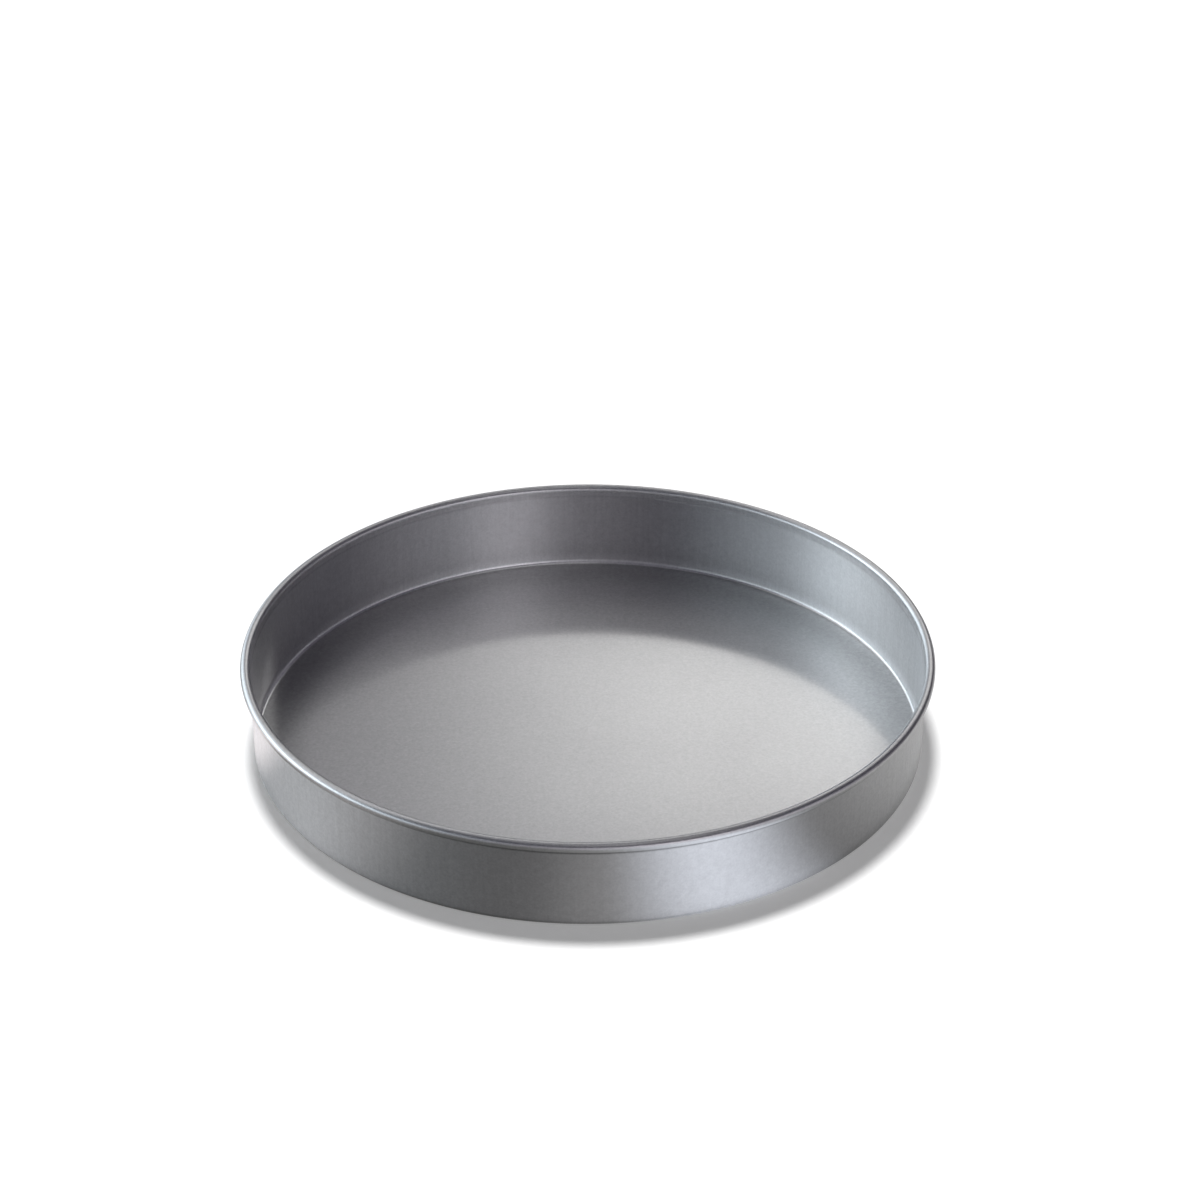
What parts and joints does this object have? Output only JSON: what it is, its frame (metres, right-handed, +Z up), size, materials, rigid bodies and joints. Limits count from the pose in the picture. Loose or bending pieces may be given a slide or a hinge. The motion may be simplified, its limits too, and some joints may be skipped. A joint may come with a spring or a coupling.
{
  "type": "cake pan",
  "caption": "Round, straight-sided cake pan of drawn steel sheet with a flat floor, a small rounded corner and a rim rolled outwards around a stiffening wire.",
  "frame": {"origin": "centre of the underside, on the surface that the pan stands on", "axes": "+Z up along the pan's axis; the pan is round, so X and Y are free, and the wire's butt joint lies at +Y"},
  "size_m": [0.2884, 0.2884, 0.04],
  "materials": {
    "satin_steel": "satin metallic, with a fine speckled grain",
    "drawn_wire": "drawn bright"
  },
  "bodies": {
    "root": {"pan_shell": "satin_steel", "rim_wire": "drawn_wire"}
  },
  "joints": []
}
